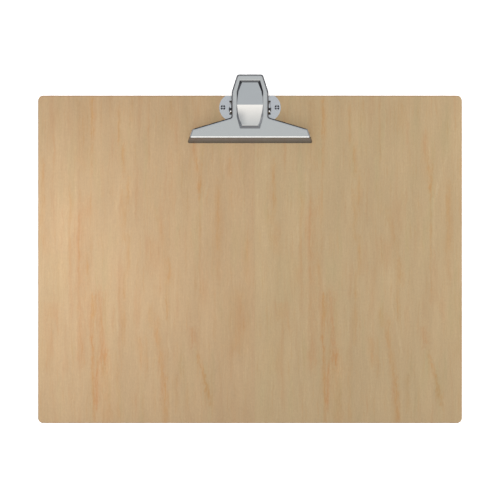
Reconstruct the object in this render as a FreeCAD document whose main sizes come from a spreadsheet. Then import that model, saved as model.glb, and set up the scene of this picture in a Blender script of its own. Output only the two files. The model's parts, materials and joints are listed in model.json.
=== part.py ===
"""Portable drawing board: a thin plywood sheet with a sprung steel clamp riveted to its top edge.

Frame, in mm: the board lies on its back with the back face on z = 0, +Z comes out of the drawing
face, +Y points to the edge that carries the clamp and +X to the right as one looks at the face.
The clamp's own pieces are drawn about the hinge line: y along the board, z above the drawing face.
"""
import FreeCAD, Part
import math
import os
import Sketcher

V = FreeCAD.Vector
doc = FreeCAD.newDocument("drawing_board")

# ---------------------------------------------------------------- driving sizes
SIZES = [
    # board
    ("board_wide", "440", "across the drawing face"),
    ("board_tall", "340", "from the bottom edge to the clamp's edge"),
    ("face_ply", "1.3", "each outer ply"),
    ("middle_ply", "1.4", "cross-grained ply between them"),
    ("corner_round", "5.5", "the sheet's corners seen from the front"),
    ("edge_round", "0.9", "sanded edges of both faces"),
    ("half_wide", "=board_wide / 2", ""),
    ("half_tall", "=board_tall / 2", ""),
    ("front_high", "=2 * face_ply + middle_ply", "drawing face above the back face"),
    ("core_top", "=face_ply + middle_ply", ""),
    # hinge
    ("hinge_inset", "14.7", "hinge line in from the board's top edge"),
    ("hinge_y", "=half_tall - hinge_inset", ""),
    ("pin_high", "6.5", "hinge line above the drawing face"),
    ("pin_radius", "1.5", ""),
    ("lug_bore", "1.53", ""),
    ("cheek_bore", "1.55", ""),
    # base plate
    ("plate_thick", "1.2", ""),
    ("plate_top", "=hinge_inset", "flush with the board's edge"),
    ("plate_bottom", "=hinge_inset - 24.9", ""),
    ("ear_y", "=(plate_top + plate_bottom) / 2", "rivet line"),
    ("ear_x", "17.4", "centre of the rounded end"),
    ("ear_round", "14.5", ""),
    ("ear_straight", "=ear_x + sqrt(ear_round ^ 2 - (plate_top - ear_y) ^ 2)", "end of the straight edge"),
    ("ear_tip", "=ear_x + ear_round", ""),
    ("rivet_x", "28", ""),
    ("rivet_row", "=hinge_y + ear_y", ""),
    ("rivet_bore", "2.05", ""),
    ("lug_low", "-3.6", "lug's end on the jaw side"),
    ("lug_far", "7.6", "lug's end on the grip side"),
    ("notch_low", "=lug_low - 1.7", "relief notch beside the bend"),
    ("notch_far", "=lug_far + 1.7", ""),
    ("notch_in", "18.2", ""),
    ("lug_in", "19.45", "lug's inner face"),
    ("lug_out", "=lug_in + plate_thick", ""),
    ("lug_bend", "0.8", "inside radius of the lug's bend"),
    ("bend_end", "=lug_out + lug_bend", ""),
    ("bend_high", "=plate_thick + lug_bend", ""),
    ("lug_top", "=pin_high + 3.9", ""),
    ("window_in", "8.6", "the lug's blank leaves this window"),
    ("lug_corner", "3.4", ""),
    # clamp lever
    ("steel_thick", "1.0", ""),
    ("tilt", "10", "degrees between the lever's main plane and the board"),
    ("plane_high", "13.2", "main plane above the drawing face at the hinge"),
    ("slope", "=tan(tilt * 1 deg)", ""),
    ("grip_y", "35.8", "end of the grip"),
    ("grip_half", "13.3", ""),
    ("grip_round", "3.2", ""),
    ("shoulder_y", "17.7", "where the grip starts to narrow"),
    ("shoulder_round", "3.5", ""),
    ("neck_half", "19.05", ""),
    ("crotch_y", "-8.3", "neck meets wing"),
    ("crotch_round", "2.6", ""),
    ("tip_y", "-20.4", "wing's outer corner"),
    ("tip_half", "60.1", ""),
    ("tip_round", "2.6", ""),
    ("bend_y", "-28.8", "lip's bend line"),
    ("bend_round", "2.6", ""),
    ("lip_y", "-34.8", "foot of the lip"),
    ("lip_half", "65.4", ""),
    ("lip_gap", "0.05", "lip above the drawing face when shut"),
    ("rim_round", "1.8", "outside radius of the down-turned rim"),
    ("bend_z", "=plane_high + bend_y * slope", ""),
    ("grip_z", "=plane_high + (grip_y + 10) * slope", ""),
    ("blank_top", "=grip_z + 5", ""),
    ("above_y", "=grip_y + 10", ""),
    ("sky", "=blank_top + 20", ""),
    ("lip_slant", "=(bend_y - lip_y) / (bend_z - lip_gap)", ""),
    ("before_y", "=lip_y - 12 * lip_slant", ""),
    ("before_z", "=lip_gap - 12", ""),
    # underside of the rims, seen from the side
    ("wing_rim", "2.4", "rim of the wings, with the sheet"),
    ("grip_rim", "3.6", "rim of the grip, with the sheet"),
    ("cheek_round", "4.8", "hinge cheek about the pin"),
    ("cheek_rise_y", "9.5", "grip side of the cheek"),
    ("cheek_fall_y", "-9.6", "jaw side of the cheek"),
    ("lip_return", "2.2", "rim at the lip's ends, with the sheet"),
    ("lip_lean", "=atan((bend_z - lip_gap) / (bend_y - lip_y))", ""),
    ("return_y", "=lip_y + lip_return * sin(lip_lean)", ""),
    ("return_z", "=lip_gap - lip_return * cos(lip_lean)", ""),
    ("return_rise", "=plane_high - wing_rim + slope * return_y - return_z", ""),
    ("return_run", "=return_rise / (sin(lip_lean) - slope * cos(lip_lean))", ""),
    ("inner_bend_y", "=return_y + return_run * cos(lip_lean)", ""),
    ("inner_bend_z", "=return_z + return_run * sin(lip_lean)", ""),
    ("under_y", "=return_y - 5 * cos(lip_lean)", ""),
    ("under_z", "=return_z - 5 * sin(lip_lean)", ""),
    ("cheek_rise_z", "=plane_high - grip_rim + cheek_rise_y * slope", ""),
    ("cheek_fall_z", "=plane_high - wing_rim + cheek_fall_y * slope", ""),
    ("grip_rim_z", "=plane_high - grip_rim + above_y * slope", ""),
    # recess pressed into the lever, in the plane of the lever
    ("wall_lean", "41", "degrees of the recess walls off upright"),
    ("ridge_u", "5.9", "crease between the two facets"),
    ("ridge_deep", "0.3", ""),
    ("top_u", "31.5", "grip end of the recess"),
    ("top_half", "10.4", ""),
    ("upper_u", "19.7", ""),
    ("side_half", "13.7", ""),
    ("lower_u", "-6.6", ""),
    ("foot_u", "-19.0", "jaw end of the recess"),
    ("foot_half", "10.3", ""),
    ("top_deep", "3.7", "facet's depth at the grip end"),
    ("foot_deep", "3.5", "facet's depth at the jaw end"),
    ("recess_reach", "6", ""),
    ("recess_over", "1", "the die stands this much above the plane"),
    ("boss_start", "0.3", "the boss starts inside the sheet"),
    ("sky_block", "8", ""),
    ("sky_half", "30", ""),
    ("sky_long", "50", ""),
    ("recess_y", "=-(plane_high - pin_high) * sin(tilt * 1 deg) * cos(tilt * 1 deg)", ""),
    ("recess_z", "=plane_high + recess_y * slope", ""),
    ("mouth_round", "0.6", ""),
    # spring
    ("spring_wraps", "9", "whole turns, and half a turn more"),
    ("wire_radius", "0.8", ""),
    ("coil_radius", "3.3", "to the wire's centre"),
    ("coil_pitch", "1.66", ""),
    ("base_leg_drop", "4.7", "degrees that the base leg slopes down"),
    ("lever_leg_rise", "9.4", "degrees that the lever's leg slopes up"),
    ("leg_reach", "13.2", ""),
    # hinge pin
    ("pin_shoulder", "=lug_out + 0.1", ""),
    ("pin_tip", "=lug_out + 1.15", ""),
    ("pin_head_mid", "=lug_out + 0.75", ""),
    ("pin_crown", "1.3", ""),
    ("pin_z", "=front_high + pin_high", ""),
    ("pin_head", "2.3", ""),
    ("pin_peen", "2.1", ""),
    # rivets
    ("rivet_shank", "2.0", ""),
    ("rivet_head", "4.5", "flat head let into the back"),
    ("rivet_head_thick", "0.9", ""),
    ("head_pocket", "4.6", ""),
    ("head_pocket_deep", "0.95", ""),
    ("star_radius", "2.6", "rolled star on the base plate"),
    ("star_thick", "0.85", ""),
    ("hollow_radius", "0.9", ""),
    ("hollow_deep", "0.45", ""),
    ("star_seat", "=front_high + plate_thick", ""),
    ("star_top", "=star_seat + star_thick", ""),
    ("star_roll", "0.4", ""),
    ("hollow_floor", "=star_top - hollow_deep", ""),
    ("hollow_tip", "=hollow_floor - 0.15", ""),
    ("head_flat", "=rivet_head - 0.3", ""),
    ("head_soft", "0.3", ""),
    ("split_top", "=star_top + 0.1", ""),
    ("split_in", "0.95", "slits between the star's petals"),
    ("split_out", "3.1", ""),
    ("split_half", "0.3", ""),
    ("split_wide", "0.75", ""),
]

sheet = doc.addObject("Spreadsheet::Sheet", "sizes")
for row, (name, value, note) in enumerate(SIZES, 1):
    sheet.set(f"A{row}", name)
    sheet.set(f"B{row}", value)
    sheet.set(f"C{row}", note)
    sheet.setAlias(f"B{row}", name)
doc.recompute()


def size(text):
    """The value of a sheet entry, whose name may carry a minus sign, or of a plain number."""
    if not isinstance(text, str):
        return float(text)
    if text.startswith("-"):
        return -size(text[1:])
    value = sheet.get(text)
    return float(getattr(value, "Value", value))


def bound(text):
    """The same as an expression for a sketch or a feature."""
    return "-sizes." + text[1:] if text.startswith("-") else "sizes." + text


# ---------------------------------------------------------------- helpers
def new_body(name, place=("", "", "")):
    body = doc.addObject("PartDesign::Body", name)
    body.Label = name
    for axis, alias in zip("xyz", place):
        if alias:
            body.setExpression(f"Placement.Base.{axis}", bound(alias))
    return body


def sketch_on(body, role, name):
    plane = next(f for f in body.Origin.OriginFeatures if f.Role == role)
    sketch = body.newObject("Sketcher::SketchObject", name)
    sketch.AttachmentSupport = (plane, [""])
    sketch.MapMode = "FlatFace"
    return sketch


def pin_down(sketch, geometry, point, place):
    for axis, text in zip("XY", place):
        index = sketch.addConstraint(
            Sketcher.Constraint("Distance" + axis, -1, 1, geometry, point, size(text))
        )
        if isinstance(text, str):
            sketch.setExpression(f"Constraints[{index}]", bound(text))


def polygon(sketch, corners):
    """A closed outline whose corners are all tied to the sheet."""
    first = sketch.GeometryCount
    spots = [V(size(x), size(y), 0) for x, y in corners]
    count = len(spots)
    for n in range(count):
        sketch.addGeometry(Part.LineSegment(spots[n], spots[(n + 1) % count]), False)
    for n in range(count):
        sketch.addConstraint(
            Sketcher.Constraint("Coincident", first + n, 2, first + (n + 1) % count, 1)
        )
    for n, place in enumerate(corners):
        pin_down(sketch, first + n, 1, place)


def circle(sketch, centre, radius):
    index = sketch.addGeometry(
        Part.Circle(V(size(centre[0]), size(centre[1]), 0), V(0, 0, 1), size(radius)), False
    )
    pin_down(sketch, index, 3, centre)
    mark = sketch.addConstraint(Sketcher.Constraint("Radius", index, size(radius)))
    sketch.setExpression(f"Constraints[{mark}]", bound(radius))


def mirrored(right_side):
    """A symmetric outline from its corners on the right, listed from the top down."""
    left = [("-" + x if isinstance(x, str) else -x, y) for x, y in reversed(right_side)]
    return right_side + left


def feature(body, kind, sketch, name, **settings):
    made = body.newObject("PartDesign::" + kind, name)
    made.Profile = sketch
    for key, value in settings.items():
        if isinstance(value, str) and key != "Type":
            made.setExpression(key, bound(value))
        else:
            setattr(made, key, value)
    doc.recompute()
    return made


def edges_where(shape, test):
    return [f"Edge{n}" for n, edge in enumerate(shape.Edges, 1) if test(edge)]


def fillet(body, base, radius, test, name):
    names = edges_where(base.Shape, test)
    if not names:
        raise RuntimeError(f"no edge to round in {name}")
    made = body.newObject("PartDesign::Fillet", name)
    made.Base = (base, names)
    made.setExpression("Radius", bound(radius))
    doc.recompute()
    return made


def straight(edge):
    return isinstance(edge.Curve, Part.Line)


def upright(edge):
    """Is the edge parallel to Z?"""
    return straight(edge) and abs(edge.Curve.Direction.z) > 0.999


def lengthwise(edge):
    """Is the edge parallel to X?"""
    return straight(edge) and abs(edge.Curve.Direction.x) > 0.999


def flat(face):
    return isinstance(face.Surface, Part.Plane)


def skin_edge_test(shape):
    """Picks the edges where the faces that look upwards end against the sides."""
    seen = {}
    for face in shape.Faces:
        u0, u1, v0, v1 = face.ParameterRange
        if face.normalAt((u0 + u1) / 2, (v0 + v1) / 2).z > 0.3:
            for edge in face.Edges:
                seen[edge.hashCode()] = seen.get(edge.hashCode(), 0) + 1
    return lambda e: seen.get(e.hashCode()) == 1 and not on_level(e, size("lip_gap"))


def on_level(edge, z):
    return all(abs(v.Point.z - z) < 1e-5 for v in edge.Vertexes)


def near(edge, x, y, slack=0.05):
    middle = edge.CenterOfMass
    return abs(abs(middle.x) - x) < slack and abs(middle.y - y) < slack


# ---------------------------------------------------------------- board
def ply(name, low, thick, round_at):
    body = new_body(name, ("", "", low))
    outline = sketch_on(body, "XY_Plane", name + "_outline")
    polygon(outline, mirrored([("half_wide", "half_tall"), ("half_wide", "-half_tall")]))
    pad = feature(body, "Pad", outline, name + "_sheet", Length=thick)
    last = fillet(body, pad, "corner_round", upright, name + "_corners")
    if round_at is not None:
        last = fillet(body, last, "edge_round", lambda e: on_level(e, round_at), name + "_edge")
    solid = last.Shape.Volume
    holes = sketch_on(body, "XY_Plane", name + "_rivet_holes")
    for side in ("", "-"):
        circle(holes, (side + "rivet_x", "rivet_row"), "rivet_bore")
    drilled = feature(
        body, "Pocket", holes, name + "_drilled", Type="ThroughAll", Midplane=True
    )
    assert drilled.Shape.Volume < solid, name
    return body, drilled


front_ply, _ = ply("front_ply", "core_top", "face_ply", size("face_ply"))
core_ply, _ = ply("core_ply", "face_ply", "middle_ply", None)
back_ply, back_drilled = ply("back_ply", "", "face_ply", 0.0)

pockets = sketch_on(back_ply, "XY_Plane", "rivet_head_pockets")
for side in ("", "-"):
    circle(pockets, (side + "rivet_x", "rivet_row"), "head_pocket")
sunk = feature(
    back_ply, "Pocket", pockets, "rivet_heads_sunk", Length="head_pocket_deep", Reversed=True
)
assert sunk.Shape.Volume < back_drilled.Shape.Volume - 50, "rivet head pockets"

# ---------------------------------------------------------------- base plate
HINGE = ("", "hinge_y", "front_high")
base = new_body("base_plate", HINGE)

outline = sketch_on(base, "XY_Plane", "plate_outline")
top_right = V(size("ear_straight"), size("plate_top"), 0)
low_right = V(size("ear_straight"), size("plate_bottom"), 0)
tip_right = V(size("ear_tip"), size("ear_y"), 0)
flip = lambda p: V(-p.x, p.y, 0)
outline.addGeometry(Part.Arc(top_right, tip_right, low_right), False)
outline.addGeometry(Part.LineSegment(low_right, flip(low_right)), False)
outline.addGeometry(Part.Arc(flip(low_right), flip(tip_right), flip(top_right)), False)
outline.addGeometry(Part.LineSegment(flip(top_right), top_right), False)
# a sketch turns every arc anticlockwise, so the right ear starts at the bottom
for first, second in (((0, 1), (1, 1)), ((1, 2), (2, 2)), ((2, 1), (3, 1)), ((3, 2), (0, 2))):
    outline.addConstraint(Sketcher.Constraint("Coincident", *first, *second))
pin_down(outline, 3, 2, ("ear_straight", "plate_top"))
pin_down(outline, 3, 1, ("-ear_straight", "plate_top"))
pin_down(outline, 1, 1, ("ear_straight", "plate_bottom"))
pin_down(outline, 1, 2, ("-ear_straight", "plate_bottom"))
for arc in (0, 2):
    mark = outline.addConstraint(Sketcher.Constraint("Radius", arc, size("ear_round")))
    outline.setExpression(f"Constraints[{mark}]", bound("ear_round"))
plate = feature(base, "Pad", outline, "plate_sheet", Length="plate_thick")

# each window is what the lug was folded out of, with a relief notch at both ends of the fold
openings = sketch_on(base, "XY_Plane", "plate_windows")
for side in ("", "-"):
    polygon(openings, [
        (side + "window_in", "lug_low"),
        (side + "notch_in", "lug_low"),
        (side + "notch_in", "notch_low"),
        (side + "bend_end", "notch_low"),
        (side + "bend_end", "notch_far"),
        (side + "notch_in", "notch_far"),
        (side + "notch_in", "lug_far"),
        (side + "window_in", "lug_far"),
    ])
windowed = feature(base, "Pocket", openings, "plate_cut", Type="ThroughAll", Midplane=True)
assert windowed.Shape.Volume < plate.Shape.Volume - 200, "plate windows"


def lug_profile(side):
    """The fold seen along the board: up from the plate and round into the lug."""
    sketch = sketch_on(base, "XZ_Plane", "lug_" + ("right" if side > 0 else "left"))
    names = {"a": "bend_end", "b": "lug_out", "c": "lug_in"}
    sign = "" if side > 0 else "-"
    end, out, inside = (sign + names[k] for k in "abc")
    spots = {
        "foot": V(size(end), 0, 0),
        "deck": V(size(end), size("plate_thick"), 0),
        "rise": V(size(out), size("bend_high"), 0),
        "crest": V(size(out), size("lug_top"), 0),
        "back": V(size(inside), size("lug_top"), 0),
        "turn": V(size(inside), size("bend_high"), 0),
    }
    hub = V(size(end), size("bend_high"), 0)
    lean = V(-side * math.sqrt(0.5), -math.sqrt(0.5), 0)
    small = size("lug_bend")
    large = size("bend_high")
    sketch.addGeometry(Part.LineSegment(spots["foot"], spots["deck"]), False)
    sketch.addGeometry(Part.Arc(spots["deck"], hub + lean * small, spots["rise"]), False)
    sketch.addGeometry(Part.LineSegment(spots["rise"], spots["crest"]), False)
    sketch.addGeometry(Part.LineSegment(spots["crest"], spots["back"]), False)
    sketch.addGeometry(Part.LineSegment(spots["back"], spots["turn"]), False)
    sketch.addGeometry(Part.Arc(spots["turn"], hub + lean * large, spots["foot"]), False)
    # on the right the arcs run towards the fold's foot, on the left away from it
    start, stop = (2, 1) if side > 0 else (1, 2)
    for first, second in (
        ((0, 2), (1, start)), ((1, stop), (2, 1)), ((2, 2), (3, 1)),
        ((3, 2), (4, 1)), ((4, 2), (5, stop)), ((5, start), (0, 1)),
    ):
        sketch.addConstraint(Sketcher.Constraint("Coincident", *first, *second))
    pin_down(sketch, 0, 1, (end, 0))
    pin_down(sketch, 0, 2, (end, "plate_thick"))
    pin_down(sketch, 2, 1, (out, "bend_high"))
    pin_down(sketch, 2, 2, (out, "lug_top"))
    pin_down(sketch, 3, 2, (inside, "lug_top"))
    pin_down(sketch, 4, 2, (inside, "bend_high"))
    for arc, radius in ((1, "lug_bend"), (5, "bend_high")):
        mark = sketch.addConstraint(Sketcher.Constraint("Radius", arc, size(radius)))
        sketch.setExpression(f"Constraints[{mark}]", bound(radius))
    return sketch


last = windowed
for side, label in ((1, "right"), (-1, "left")):
    fold = lug_profile(side)
    last = base.newObject("PartDesign::Pad", "lug_pad_" + label)
    last.Profile = fold
    last.SideType = "Two sides"
    last.setExpression("Length", "-sizes.lug_low")
    last.setExpression("Length2", "sizes.lug_far")
    doc.recompute()

last = fillet(
    base, last, "lug_corner",
    lambda e: lengthwise(e) and on_level(e, size("lug_top")),
    "lug_corners",
)
bore = sketch_on(base, "YZ_Plane", "lug_bores")
circle(bore, (0, "pin_high"), "lug_bore")
before = last.Shape.Volume
last = feature(base, "Pocket", bore, "lugs_bored", Type="ThroughAll", Midplane=True)
assert last.Shape.Volume < before - 10, "lug bores"
rivet_holes = sketch_on(base, "XY_Plane", "plate_rivet_holes")
for side in ("", "-"):
    circle(rivet_holes, (side + "rivet_x", "ear_y"), "rivet_bore")
before = last.Shape.Volume
last = feature(base, "Pocket", rivet_holes, "plate_drilled", Type="ThroughAll", Midplane=True)
assert last.Shape.Volume < before - 20, "plate rivet holes"

# ---------------------------------------------------------------- clamp lever
# one pressing: a block with the lever's outside is rounded, hollowed to a sheet and trimmed below
lever = new_body("lever_pressing")
blank = sketch_on(lever, "XY_Plane", "lever_outline")
polygon(blank, mirrored([
    ("grip_half", "grip_y"),
    ("neck_half", "shoulder_y"),
    ("neck_half", "crotch_y"),
    ("tip_half", "tip_y"),
    ("lip_half", "lip_y"),
]))
blank.setExpression("AttachmentOffset.Base.z", bound("lip_gap"))
block = feature(lever, "Pad", blank, "lever_block", Length="blank_top")
above = sketch_on(lever, "YZ_Plane", "above_the_lever")
polygon(above, [
    ("before_y", "before_z"),
    ("bend_y", "bend_z"),
    ("above_y", "grip_z"),
    ("above_y", "sky"),
    ("before_y", "sky"),
])
faced = feature(lever, "Pocket", above, "lever_faced", Type="ThroughAll", Midplane=True)
assert faced.Shape.Volume < block.Shape.Volume * 0.9, "lever's top"

last = faced
for x, y, radius, name in (
    ("grip_half", "grip_y", "grip_round", "grip_corners"),
    ("neck_half", "shoulder_y", "shoulder_round", "shoulders"),
    ("neck_half", "crotch_y", "crotch_round", "crotches"),
    ("tip_half", "tip_y", "tip_round", "wing_tips"),
):
    at_corner = lambda e: upright(e) and near(e, size(x), size(y))
    last = fillet(lever, last, radius, at_corner, name)
last = fillet(
    lever, last, "bend_round",
    lambda e: lengthwise(e) and abs(e.CenterOfMass.y - size("bend_y")) < 0.01
    and e.CenterOfMass.z > 2,
    "lip_bend",
)
last = fillet(lever, last, "rim_round", skin_edge_test(last.Shape), "rim_rounding")

shell = lever.newObject("PartDesign::Thickness", "pressed_sheet")
shell.Base = (last, [
    f"Face{n}" for n, face in enumerate(last.Shape.Faces, 1)
    if flat(face) and abs(face.CenterOfMass.z - size("lip_gap")) < 1e-6
])
shell.Reversed = True
shell.setExpression("Value", bound("steel_thick"))
doc.recompute()
assert shell.Shape.Volume < last.Shape.Volume * 0.3, "lever hollowed"

# rims, hinge cheeks and the lip's returned ends as they are trimmed, seen from the side
trim = sketch_on(lever, "YZ_Plane", "below_the_rims")
path = [
    ("under_y", "under_z"),
    ("inner_bend_y", "inner_bend_z"),
    ("cheek_fall_y", "cheek_fall_z"),
    ("-cheek_round", "pin_high"),
    ("cheek_round", "pin_high"),
    ("cheek_rise_y", "cheek_rise_z"),
    ("above_y", "grip_rim_z"),
    ("above_y", "under_z"),
]
spots = [V(size(y), size(z), 0) for y, z in path]
for n, spot in enumerate(spots):
    after = spots[(n + 1) % len(spots)]
    if path[n][0] == "-cheek_round":
        low = V(0, size("pin_high") - size("cheek_round"), 0)
        trim.addGeometry(Part.Arc(spot, low, after), False)
    else:
        trim.addGeometry(Part.LineSegment(spot, after), False)
for n in range(len(spots)):
    trim.addConstraint(Sketcher.Constraint("Coincident", n, 2, (n + 1) % len(spots), 1))
    pin_down(trim, n, 1, path[n])
trimmed = feature(lever, "Pocket", trim, "lever_trimmed", Type="ThroughAll", Midplane=True)
assert trimmed.Shape.Volume < shell.Shape.Volume * 0.9, "rims trimmed"

bore = sketch_on(lever, "YZ_Plane", "cheek_bores")
circle(bore, (0, "pin_high"), "cheek_bore")
bored = feature(lever, "Pocket", bore, "cheeks_bored", Type="ThroughAll", Midplane=True)
assert bored.Shape.Volume < trimmed.Shape.Volume - 10, "cheek bores"

# the recess: a die with leaning walls and a floor of two facets, and a boss one sheet larger
TILT = {"Axis.x": "1", "Axis.y": "0", "Axis.z": "0", "Angle": "sizes.tilt * 1 deg"}


def lay_on_lever(body):
    body.setExpression("Placement.Base.y", bound("recess_y"))
    body.setExpression("Placement.Base.z", bound("recess_z"))
    for key, text in TILT.items():
        body.setExpression("Placement.Rotation." + key, text)


die = new_body("recess_die")
lay_on_lever(die)
coffin = mirrored([
    ("top_half", "top_u"),
    ("side_half", "upper_u"),
    ("side_half", "lower_u"),
    ("foot_half", "foot_u"),
])
mouth = sketch_on(die, "XY_Plane", "recess_mouth")
polygon(mouth, coffin)
walls = feature(die, "Pad", mouth, "recess_walls", Length="recess_reach", Reversed=True)
walls.setExpression("TaperAngle", "-sizes.wall_lean * 1 deg")
collar_sketch = sketch_on(die, "XY_Plane", "recess_collar_outline")
polygon(collar_sketch, coffin)
collar = feature(die, "Pad", collar_sketch, "recess_collar", Length="recess_over")
facets = sketch_on(die, "YZ_Plane", "below_the_facets")
polygon(facets, [
    ("foot_u", "-foot_deep"),
    ("ridge_u", "-ridge_deep"),
    ("top_u", "-top_deep"),
    ("top_u", "-sky_block"),
    ("foot_u", "-sky_block"),
])
floored = feature(die, "Pocket", facets, "recess_floor", Type="ThroughAll", Midplane=True)
assert floored.Shape.Volume < collar.Shape.Volume - 500, "recess floor"

sky = new_body("over_the_lever")
lay_on_lever(sky)
sky_sketch = sketch_on(sky, "XY_Plane", "over_outline")
polygon(sky_sketch, mirrored([("sky_half", "sky_long"), ("sky_half", "-sky_long")]))
sky_sketch.setExpression("AttachmentOffset.Base.z", bound("-boss_start"))
feature(sky, "Pad", sky_sketch, "over_block", Length="sky_block")


def combine(kind, name, base, tool):
    made = doc.addObject("Part::" + kind, name)
    made.Base = base
    made.Tool = tool
    made.Refine = True
    doc.recompute()
    return made


swollen = doc.addObject("Part::Offset", "recess_swollen")
swollen.Source = die
swollen.Join = "Intersection"
swollen.Fill = False
swollen.setExpression("Value", bound("steel_thick"))
doc.recompute()
boss = combine("Cut", "recess_boss", swollen, sky)
backed = combine("Fuse", "lever_backed", lever, boss)
recessed = combine("Cut", "lever_recessed", backed, die)


def on_main_plane(edge):
    """Does a straight edge round the recess lie in the lever's main plane?"""
    heights = [v.Point.z - size("plane_high") - v.Point.y * size("slope") for v in edge.Vertexes]
    inside = all(
        abs(v.Point.x) < size("side_half") + 0.1 and v.Point.y < size("top_u")
        for v in edge.Vertexes
    )
    return straight(edge) and inside and max(abs(h) for h in heights) < 1e-4


clamp_lever = doc.addObject("Part::Fillet", "clamp_lever")
clamp_lever.Label = "clamp_lever"
clamp_lever.Base = recessed
clamp_lever.Edges = [
    (n, size("mouth_round"), size("mouth_round"))
    for n, edge in enumerate(recessed.Shape.Edges, 1) if on_main_plane(edge)
]
for axis, alias in zip("xyz", HINGE):
    if alias:
        clamp_lever.setExpression(f"Placement.Base.{axis}", bound(alias))
doc.recompute()

# ---------------------------------------------------------------- hinge pin
pin = new_body("hinge_pin", ("", "hinge_y", "pin_z"))
profile = sketch_on(pin, "XZ_Plane", "pin_profile")
polygon(profile, [
    ("-pin_tip", 0),
    ("-pin_tip", "pin_crown"),
    ("-pin_head_mid", "pin_head"),
    ("-pin_shoulder", "pin_head"),
    ("-pin_shoulder", "pin_radius"),
    ("pin_shoulder", "pin_radius"),
    ("pin_shoulder", "pin_peen"),
    ("pin_head_mid", "pin_peen"),
    ("pin_tip", "pin_crown"),
    ("pin_tip", 0),
])
turned = pin.newObject("PartDesign::Revolution", "pin_turned")
turned.Profile = profile
turned.ReferenceAxis = (profile, ["H_Axis"])
turned.Angle = 360
doc.recompute()

# ---------------------------------------------------------------- torsion spring
# seen from the right the wire comes in under the pin from the grip side, winds round behind it
# and leaves over the top, back towards the grip
drop = size("base_leg_drop")
rise = size("lever_leg_rise")
turns = size("spring_wraps") + 0.5 - (drop + rise) / 360
start = math.radians(-90 - drop)
lie = FreeCAD.Rotation(
    V(0, math.cos(start), math.sin(start)), V(0, math.sin(start), -math.cos(start)), V(-1, 0, 0)
)
laid = FreeCAD.Placement(V(size("coil_pitch") * turns / 2, 0, 0), lie)

coil_line = doc.addObject("Part::Helix", "coil_line")
coil_line.setExpression("Radius", bound("coil_radius"))
coil_line.setExpression("Pitch", bound("coil_pitch"))
coil_line.setExpression("Height", f"sizes.coil_pitch * {turns:.6f}")
doc.recompute()
curve = coil_line.Shape.Edges[0]
ends = []
for at, sign in ((curve.FirstParameter, -1), (curve.LastParameter, 1)):
    ends.append((curve.valueAt(at), curve.tangentAt(at) * sign))

section = doc.addObject("Part::Circle", "wire_section")
section.setExpression("Radius", bound("wire_radius"))
section.Placement = FreeCAD.Placement(ends[0][0], FreeCAD.Rotation(V(0, 0, 1), ends[0][1]))
coil = doc.addObject("Part::Sweep", "spring_coil")
coil.Sections = [section]
coil.Spine = (coil_line, [])
coil.Solid = True
coil.Frenet = True
coil.Placement = laid
wires = [coil]
for n, (point, outward) in enumerate(ends):
    leg = doc.addObject("Part::Cylinder", f"spring_leg_{n + 1}")
    leg.setExpression("Radius", bound("wire_radius"))
    leg.setExpression("Height", bound("leg_reach"))
    leg.Placement = laid * FreeCAD.Placement(point, FreeCAD.Rotation(V(0, 0, 1), outward))
    wires.append(leg)
spring = doc.addObject("Part::MultiFuse", "torsion_spring")
spring.Label = "torsion_spring"
spring.Shapes = wires
spring.setExpression("Placement.Base.y", bound("hinge_y"))
spring.setExpression("Placement.Base.z", bound("pin_z"))
doc.recompute()


# ---------------------------------------------------------------- rivets
def rivet(name, side):
    """Semi-tubular rivet: a flat head in the back, its end split and rolled into a star in front."""
    body = new_body(name, (side + "rivet_x", "rivet_row", ""))
    profile = sketch_on(body, "XZ_Plane", name + "_profile")
    polygon(profile, [
        (0, 0),
        ("head_flat", 0),
        ("rivet_head", "head_soft"),
        ("rivet_head", "rivet_head_thick"),
        ("rivet_shank", "rivet_head_thick"),
        ("rivet_shank", "star_seat"),
        ("star_radius", "star_seat"),
        ("star_radius", "star_top"),
        ("hollow_radius", "star_top"),
        ("hollow_radius", "hollow_floor"),
        (0, "hollow_tip"),
    ])
    turned = body.newObject("PartDesign::Revolution", name + "_turned")
    turned.Profile = profile
    turned.ReferenceAxis = (profile, ["V_Axis"])
    turned.Angle = 360
    doc.recompute()
    rolled = fillet(
        body, turned, "star_roll",
        lambda e: not straight(e) and on_level(e, size("star_top")), name + "_rolled",
    )
    split = sketch_on(body, "XY_Plane", name + "_split")
    polygon(split, [
        ("split_in", "-split_half"),
        ("split_out", "-split_wide"),
        ("split_out", "split_wide"),
        ("split_in", "split_half"),
    ])
    split.AttachmentOffset = FreeCAD.Placement(V(0, 0, 0), FreeCAD.Rotation(V(0, 0, 1), 45))
    split.setExpression("AttachmentOffset.Base.z", bound("split_top"))
    cut = feature(body, "Pocket", split, name + "_slit", Length="star_thick")
    pattern = body.newObject("PartDesign::PolarPattern", name + "_star")
    pattern.Originals = [cut]
    axis = next(f for f in body.Origin.OriginFeatures if f.Role == "Z_Axis")
    pattern.Axis = (axis, [""])
    pattern.Angle = 360
    pattern.Occurrences = 4
    body.Tip = pattern
    doc.recompute()
    slit = rolled.Shape.Volume - cut.Shape.Volume
    assert abs(rolled.Shape.Volume - pattern.Shape.Volume - 4 * slit) < 0.1 and slit > 0.3, name
    return body


rivet_left = rivet("rivet_left", "-")
rivet_right = rivet("rivet_right", "")

# ---------------------------------------------------------------- export
NODES = [
    front_ply, core_ply, back_ply, base, clamp_lever, pin, spring, rivet_left, rivet_right,
]
doc.recompute()
for thing in doc.Objects:
    assert not {"Invalid", "Error"} & set(thing.State), f"{thing.Label}: {thing.State}"
os.makedirs("parts", exist_ok=True)
for node in NODES:
    solid = node.Shape
    assert not solid.isNull() and solid.isValid() and len(solid.Solids) == 1, node.Label
    solid.exportStep(f"parts/{node.Label}.step")
    print(f"{node.Label}: {solid.Volume:.1f} mm3")
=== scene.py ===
"""Looks of the portable drawing board: veneered ply, nickel-plated clamp, spring, light and camera.

Metres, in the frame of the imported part: the board's back is on z = 0 and +Z leaves the drawing face.
"""
import json
import math

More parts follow.
